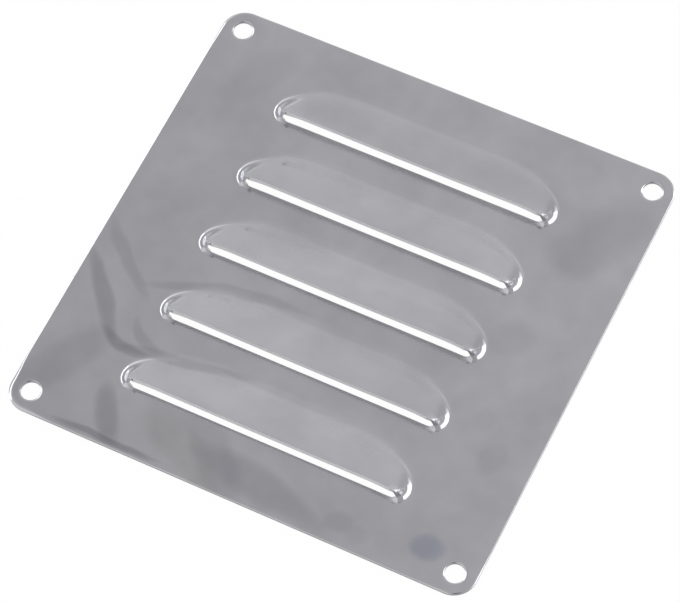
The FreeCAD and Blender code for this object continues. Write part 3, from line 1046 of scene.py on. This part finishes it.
        for share, level in ((sheared, self.sheared_metallic), (lanced, self.lanced_metallic)):
            metallic = add_node(tree, "ShaderNodeMapRange", {
                "Value": share,
                "To Min": metallic,
                "To Max": level,
            }).outputs["Result"]
        colour = self.skin_colour(tree, place, clouds, flecks)
        # The lanced edges' pale colour is partly a painted highlight of the light that reaches them through
        # the slots.
        for share, code in ((sheared, self.sheared_colour), (mill, self.mill_colour),
                            (lanced, self.lanced_edge_highlight_colour)):
            colour = add_node(tree, "ShaderNodeMix", {0: share, 6: colour, 7: linear_colour(code)},
                              data_type="RGBA").outputs[2]
        shader = add_node(tree, "ShaderNodeBsdfPrincipled", {
            "Base Color": colour,
            "Metallic": metallic,
            "Roughness": roughness,
            "Normal": normal,
        })
        add_node(tree, "ShaderNodeOutputMaterial", {"Surface": shader.outputs["BSDF"]})
        return material

    def skin_colour(self, tree: bpy.types.NodeTree, place: bpy.types.NodeSocket, clouds: bpy.types.NodeSocket,
                    flecks: bpy.types.NodeSocket) -> bpy.types.NodeSocket:
        """The colour of the polished skin, with its clouds and its streaks of painted reflection.

        Args:
            tree: The material's tree.
            place: The place on the object.
            clouds: The coarse noise.
            flecks: The finer noise.

        Returns:
            The colour's socket.
        """
        drift = add_node(tree, "ShaderNodeMix", {0: self.fleck_share, 2: clouds, 3: flecks},
                         data_type="FLOAT")
        dull = add_node(tree, "ShaderNodeMapRange", {
            "Value": drift.outputs[0],
            "From Min": self.dull_range[0],
            "From Max": self.dull_range[1],
        })
        colour = add_node(tree, "ShaderNodeMix", {
            0: dull.outputs["Result"],
            6: linear_colour(self.colour),
            7: linear_colour(self.dull_colour),
        }, data_type="RGBA").outputs[2]
        ripple = add_node(tree, "ShaderNodeMath", {
            0: clouds,
            1: 2 * self.streak_ripple,
            2: -self.streak_ripple,
        }, operation="MULTIPLY_ADD")
        in_mm = add_node(tree, "ShaderNodeVectorMath", {
            0: place,
            1: (1 / MM, 1 / MM, 1 / MM),
            2: ripple.outputs["Value"],
        }, operation="MULTIPLY_ADD")
        # Lays the painted reflection streaks over the skin's colour.
        for streak in self.painted_reflection_streaks:
            colour = streak.lay_on(tree, in_mm.outputs["Vector"], colour)
        return colour


@dataclass
class LouvredPanel:
    """The whole panel: the sheet and its row of louvres, in millimetres."""

    sheet: SteelSheet
    louvre: Louvre
    first_slot: float
    louvre_count: int
    finish: PolishedStainlessSteel
    waviness: float = 0.06
    wave_length: float = 55.0
    name: str = "pressed_steel_panel"

    def row_tree(self) -> bpy.types.NodeTree:
        """The tree that sets the louvres in a row and joins them with the sheet about them.

        Returns:
            The node tree, with its sizes as named inputs.
        """
        tree = bpy.data.node_groups.new("louvre_row", "GeometryNodeTree")
        for name, kind in (
            ("Sheet", "NodeSocketGeometry"),
            ("Louvre", "NodeSocketObject"),
            ("Count", "NodeSocketInt"),
            ("First slot", "NodeSocketVector"),
            ("Pitch", "NodeSocketVector"),
            ("Waviness", "NodeSocketFloat"),
            ("Wave scale", "NodeSocketFloat"),
            ("Merge distance", "NodeSocketFloat"),
            ("Steel", "NodeSocketMaterial"),
        ):
            tree.interface.new_socket(name, in_out="INPUT", socket_type=kind)
        tree.interface.new_socket("Panel", in_out="OUTPUT", socket_type="NodeSocketGeometry")
        given = add_node(tree, "NodeGroupInput").outputs
        slots = add_node(tree, "GeometryNodeMeshLine", {
            "Count": given["Count"],
            "Start Location": given["First slot"],
            "Offset": given["Pitch"],
        })
        louvre = add_node(tree, "GeometryNodeObjectInfo", {"Object": given["Louvre"]})
        row = add_node(tree, "GeometryNodeInstanceOnPoints", {
            "Points": slots.outputs["Mesh"],
            "Instance": louvre.outputs["Geometry"],
        })
        joined = add_node(tree, "GeometryNodeJoinGeometry")
        tree.links.new(given["Sheet"], joined.inputs["Geometry"])
        tree.links.new(row.outputs["Instances"], joined.inputs["Geometry"])
        whole = add_node(tree, "GeometryNodeRealizeInstances", {"Geometry": joined.outputs["Geometry"]})
        merged = add_node(tree, "GeometryNodeMergeByDistance", {
            "Geometry": whole.outputs["Geometry"],
            "Distance": given["Merge distance"],
        })
        place = add_node(tree, "GeometryNodeInputPosition")
        drift = add_node(tree, "ShaderNodeTexNoise", {
            "Vector": place.outputs["Position"],
            "Scale": given["Wave scale"],
            "Detail": 0.0,
        }, noise_dimensions="2D")
        rise = add_node(tree, "ShaderNodeMath", {0: drift.outputs["Fac"], 1: given["Waviness"]},
                        operation="MULTIPLY")
        offset = add_node(tree, "ShaderNodeCombineXYZ", {"Z": rise.outputs["Value"]})
        wavy = add_node(tree, "GeometryNodeSetPosition", {
            "Geometry": merged.outputs["Geometry"],
            "Offset": offset.outputs["Vector"],
        })
        dressed = add_node(tree, "GeometryNodeSetMaterial", {
            "Geometry": wavy.outputs["Geometry"],
            "Material": given["Steel"],
        })
        add_node(tree, "NodeGroupOutput", {"Panel": dressed.outputs["Geometry"]})
        return tree

    def build(self) -> bpy.types.Object:
        """Makes the panel as one mesh in its steel.

        Returns:
            The finished piece.
        """
        steel = self.finish.make()
        block = self.louvre.block_outline(self.first_slot, self.louvre_count)
        louvre = add_object("louvre_tile", self.louvre.build().to_mesh("louvre_tile"))
        sheet = add_object("sheet_ground", self.sheet.build_ground(block).to_mesh("sheet_ground"))
        values = {
            "Louvre": louvre,
            "Count": self.louvre_count,
            "First slot": (0.0, self.first_slot * MM, 0.0),
            "Pitch": (0.0, self.louvre.pitch * MM, 0.0),
            "Waviness": self.waviness * MM,
            "Wave scale": 1 / (self.wave_length * MM),
            "Merge distance": MERGE_DISTANCE * MM,
            "Steel": steel,
        }
        mesh = run_tree(sheet, self.row_tree(), values)
        mesh.name = self.name
        tidy_mesh(mesh, closed=True)
        for helper in (louvre, sheet):
            bpy.data.objects.remove(helper)
        piece = add_object(self.name, mesh)
        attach(piece, BODY)
        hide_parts(NODE)
        return piece


def add_object(name: str, content: bpy.types.Mesh | bpy.types.Light | bpy.types.Camera) -> bpy.types.Object:
    """Puts a mesh, lamp or camera in the scene, its object at the origin.

    Args:
        name: The object's name.
        content: What the object holds.

    Returns:
        The object.
    """
    piece = bpy.data.objects.new(name, content)
    bpy.context.scene.collection.objects.link(piece)
    return piece


def run_tree(carrier: bpy.types.Object, tree: bpy.types.NodeTree, values: dict[str, Any]) -> bpy.types.Mesh:
    """Runs a geometry tree on an object and gives its result as a plain mesh.

    Args:
        carrier: The object whose mesh goes into the tree.
        tree: The geometry tree.
        values: The tree's inputs by name.

    Returns:
        The resulting mesh.
    """
    modifier = carrier.modifiers.new(tree.name, "NODES")
    modifier.node_group = tree
    for item in tree.interface.items_tree:
        if item.in_out == "INPUT" and item.name in values:
            modifier[item.identifier] = values[item.name]
    evaluated = carrier.evaluated_get(bpy.context.evaluated_depsgraph_get())
    mesh = bpy.data.meshes.new_from_object(evaluated)
    carrier.modifiers.remove(modifier)
    return mesh


@dataclass(frozen=True)
class WhiteFloor:
    """A white paper sweep. It looks white to the camera and in the steel, and keeps a soft shadow."""

    name: str = "white_paper"
    colour: str = "#f4f4f4"
    glow: float = 0.97
    half_size: float = 3.0

    def make(self) -> bpy.types.Material:
        """The paper, whose white is there for camera, mirror and glass rays only.

        Returns:
            The material.
        """
        material = bpy.data.materials.new(self.name)
        tree = empty_tree(material)
        seen = seen_directly(tree)
        paper = add_node(tree, "ShaderNodeBsdfDiffuse", {"Color": linear_colour(self.colour)})
        white = add_node(tree, "ShaderNodeEmission", {"Color": linear_colour(WHITE), "Strength": 1.0})
        share = add_node(tree, "ShaderNodeMath", {0: seen, 1: self.glow}, operation="MULTIPLY")
        mixed = add_node(tree, "ShaderNodeMixShader", {
            0: share.outputs["Value"],
            1: paper.outputs["BSDF"],
            2: white.outputs["Emission"],
        })
        add_node(tree, "ShaderNodeOutputMaterial", {"Surface": mixed.outputs["Shader"]})
        return material

    def build(self, level: float) -> bpy.types.Object:
        """Lays the floor under the panel.

        Args:
            level: The floor's height in metres.

        Returns:
            The floor.
        """
        mesh = bpy.data.meshes.new("floor")
        half = self.half_size
        corners = [(-half, -half, level), (half, -half, level), (half, half, level), (-half, half, level)]
        mesh.from_pydata(corners, [], [(0, 1, 2, 3)])
        mesh.materials.append(self.make())
        floor = add_object("floor", mesh)
        return floor


def seen_directly(tree: bpy.types.NodeTree) -> bpy.types.NodeSocket:
    """A socket that is one for camera, mirror and glass rays, and nothing for the rest.

    Args:
        tree: The shader tree that gets the nodes.

    Returns:
        The socket.
    """
    path = add_node(tree, "ShaderNodeLightPath").outputs
    either = add_node(tree, "ShaderNodeMath", {0: path["Is Camera Ray"], 1: path["Is Glossy Ray"]},
                      operation="MAXIMUM")
    any_of = add_node(tree, "ShaderNodeMath", {0: either.outputs["Value"], 1: path["Is Transmission Ray"]},
                      operation="MAXIMUM")
    return any_of.outputs["Value"]


@dataclass
class SoftBox:
    """A studio lamp behind a white diffuser, with its place in degrees and its sizes in metres."""

    name: str
    bearing: float
    elevation: float
    distance: float
    width: float
    height: float
    radiance: float

    def build(self) -> bpy.types.Object:
        """Hangs the lamp and points it at the panel.

        Returns:
            The lamp.
        """
        lamp = bpy.data.lights.new(self.name, "AREA")
        lamp.shape = "RECTANGLE"
        lamp.size = self.width
        lamp.size_y = self.height
        lamp.energy = self.radiance * math.pi * self.width * self.height
        piece = add_object(self.name, lamp)
        direction = towards(self.bearing, self.elevation)
        piece.location = direction * self.distance
        piece.rotation_euler = direction.to_track_quat("Z", "Y").to_euler()
        return piece


@dataclass(frozen=True)
class RoomPatch:
    """A soft-edged patch of the room about the panel, lighter or darker than the rest.

    All but its level are in degrees: the place of its middle, and how far from there it is whole
    and has faded out.
    """

    bearing: float
    elevation: float
    inner: float
    outer: float
    level: float

    def lay_on(self, tree: bpy.types.NodeTree, direction: bpy.types.NodeSocket,
               level: bpy.types.NodeSocket) -> bpy.types.NodeSocket:
        """Mixes the patch into the room's level.

        Args:
            tree: The world's tree.
            direction: The direction looked in.
            level: The level so far.

        Returns:
            The new level's socket.
        """
        facing = add_node(tree, "ShaderNodeVectorMath", {
            0: direction,
            1: towards(self.bearing, self.elevation),
        }, operation="DOT_PRODUCT")
        share = add_node(tree, "ShaderNodeMapRange", {
            "Value": facing.outputs["Value"],
            "From Min": math.cos(math.radians(self.outer)),
            "From Max": math.cos(math.radians(self.inner)),
        }, interpolation_type="SMOOTHSTEP")
        mix = add_node(tree, "ShaderNodeMix", {0: share.outputs["Result"], 2: level, 3: self.level},
                       data_type="FLOAT")
        return mix.outputs[0]


@dataclass
class Studio:
    """The floor, the lamps, the room's own light and the camera."""

    floor: WhiteFloor = field(default_factory=WhiteFloor)
    lamps: tuple[SoftBox, ...] = (
        SoftBox("right_softbox", bearing=20.0, elevation=29.0, distance=1.6,
                width=2.2, height=0.98, radiance=1.8),
        SoftBox("left_softbox", bearing=173.0, elevation=27.0, distance=1.6,
                width=1.45, height=0.52, radiance=1.8),
    )
    ceiling_level: float = 0.64
    wall_level: float = 0.56
    # The heights, on a sphere of radius one, where the walls' level ends and the ceiling's starts.
    wall_top: float = 0.3
    ceiling_edge: float = 0.8
    # What the hoods and flats mirror of the room beside its plain walls and ceiling.
    patches: tuple[RoomPatch, ...] = (
        RoomPatch(bearing=145, elevation=60.7, inner=2, outer=14, level=0.562),
        RoomPatch(bearing=105, elevation=12, inner=20, outer=36, level=0.73),
        RoomPatch(bearing=141, elevation=24, inner=3, outer=17, level=1.25),
        RoomPatch(bearing=86, elevation=44, inner=2, outer=13, level=0.8),
        RoomPatch(bearing=66, elevation=12, inner=5, outer=16, level=0.6),
        RoomPatch(bearing=57, elevation=30, inner=2, outer=17, level=1.5),
        RoomPatch(bearing=240, elevation=26, inner=24, outer=48, level=1.0),
        RoomPatch(bearing=316, elevation=22, inner=14, outer=32, level=0.55),
        RoomPatch(bearing=303, elevation=62, inner=4, outer=13, level=0.25),
    )
    # The camera's place in millimetres and the directions to its right and up, found from the
    # perspective of the panel's own edges in the photograph.
    eye: tuple[float, float, float] = (223.5, -348.3, 769.3)
    right: tuple[float, float, float] = (0.8937, 0.4447, -0.0598)
    up: tuple[float, float, float] = (-0.3685, 0.8034, 0.4678)
    lens: float = 185.9
    sensor: float = 36.0

    def build_world(self) -> None:
        """Lights the room from all round, with a grey ceiling, darker walls and soft patches."""
        world = bpy.data.worlds.new("studio_room")
        bpy.context.scene.world = world
        tree = empty_tree(world)
        direction = add_node(tree, "ShaderNodeTexCoord").outputs["Generated"]
        parts = add_node(tree, "ShaderNodeSeparateXYZ", {"Vector": direction})
        level = add_node(tree, "ShaderNodeMapRange", {
            "Value": parts.outputs["Z"],
            "From Min": self.wall_top,
            "From Max": self.ceiling_edge,
            "To Min": self.wall_level,
            "To Max": self.ceiling_level,
        }, interpolation_type="SMOOTHSTEP").outputs["Result"]
        for patch in self.patches:
            level = patch.lay_on(tree, direction, level)
        room_light, white = [
            add_node(tree, "ShaderNodeBackground", {"Color": linear_colour(WHITE), "Strength": strength})
            for strength in (level, 1.0)
        ]
        path = add_node(tree, "ShaderNodeLightPath").outputs
        mixed = add_node(tree, "ShaderNodeMixShader", {
            0: path["Is Camera Ray"],
            1: room_light.outputs["Background"],
            2: white.outputs["Background"],
        })
        add_node(tree, "ShaderNodeOutputWorld", {"Surface": mixed.outputs["Shader"]})

    def build_camera(self) -> None:
        """Sets the camera where the photograph was taken from."""
        camera = bpy.data.cameras.new("camera")
        camera.lens = self.lens
        camera.sensor_width = self.sensor
        camera.sensor_fit = "HORIZONTAL"
        piece = add_object("camera", camera)
        right, up = Vector(self.right).normalized(), Vector(self.up)
        back = right.cross(up).normalized()
        up = back.cross(right)
        turn = Matrix((right, up, back)).transposed().to_4x4()
        piece.matrix_world = Matrix.Translation(Vector(self.eye) * MM) @ turn
        bpy.context.scene.camera = piece

    def build(self) -> None:
        """Sets up everything about the panel."""
        bpy.context.scene.view_settings.view_transform = "Standard"
        self.floor.build(0.0)
        for lamp in self.lamps:
            lamp.build()
        self.build_world()
        self.build_camera()


def panel_from_frame() -> LouvredPanel:
    """Reads the panel's overall sizes and the places of its louvres and holes from the frame.

    Returns:
        The panel, ready to be built.
    """
    low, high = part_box(NODE)
    mouths = [opening["box_m"] for opening in frame["record"]["physics"]["openings"]]
    slots = [(box[0][1] / MM) - MOUTH_SETBACK for box in mouths]
    pitch = (slots[-1] - slots[0]) / (len(slots) - 1)
    holes = next(mount["dims"] for mount in frame["record"]["mounts"] if mount["name"] == SCREW_HOLES)
    sheet = SteelSheet(
        width=(high.x - low.x) / MM,
        height=(high.y - low.y) / MM,
        hole_radius=holes["hole_r_mm"],
        hole_reach=(holes["spacing_x_mm"] / 2, holes["spacing_y_mm"] / 2),
    )
    louvre = Louvre(gauge=sheet.gauge, pitch=pitch)
    return LouvredPanel(sheet, louvre, slots[0], len(slots), PolishedStainlessSteel())


def main() -> None:
    """Builds the panel and the studio in order."""
    logging.basicConfig(level=logging.INFO, format="%(message)s")
    piece = panel_from_frame().build()
    log.info("%s: %d points", piece.name, len(piece.data.vertices))
    Studio().build()
    log.info("studio: floor, lamps, room and camera")


if __name__ == "__main__":
    main()
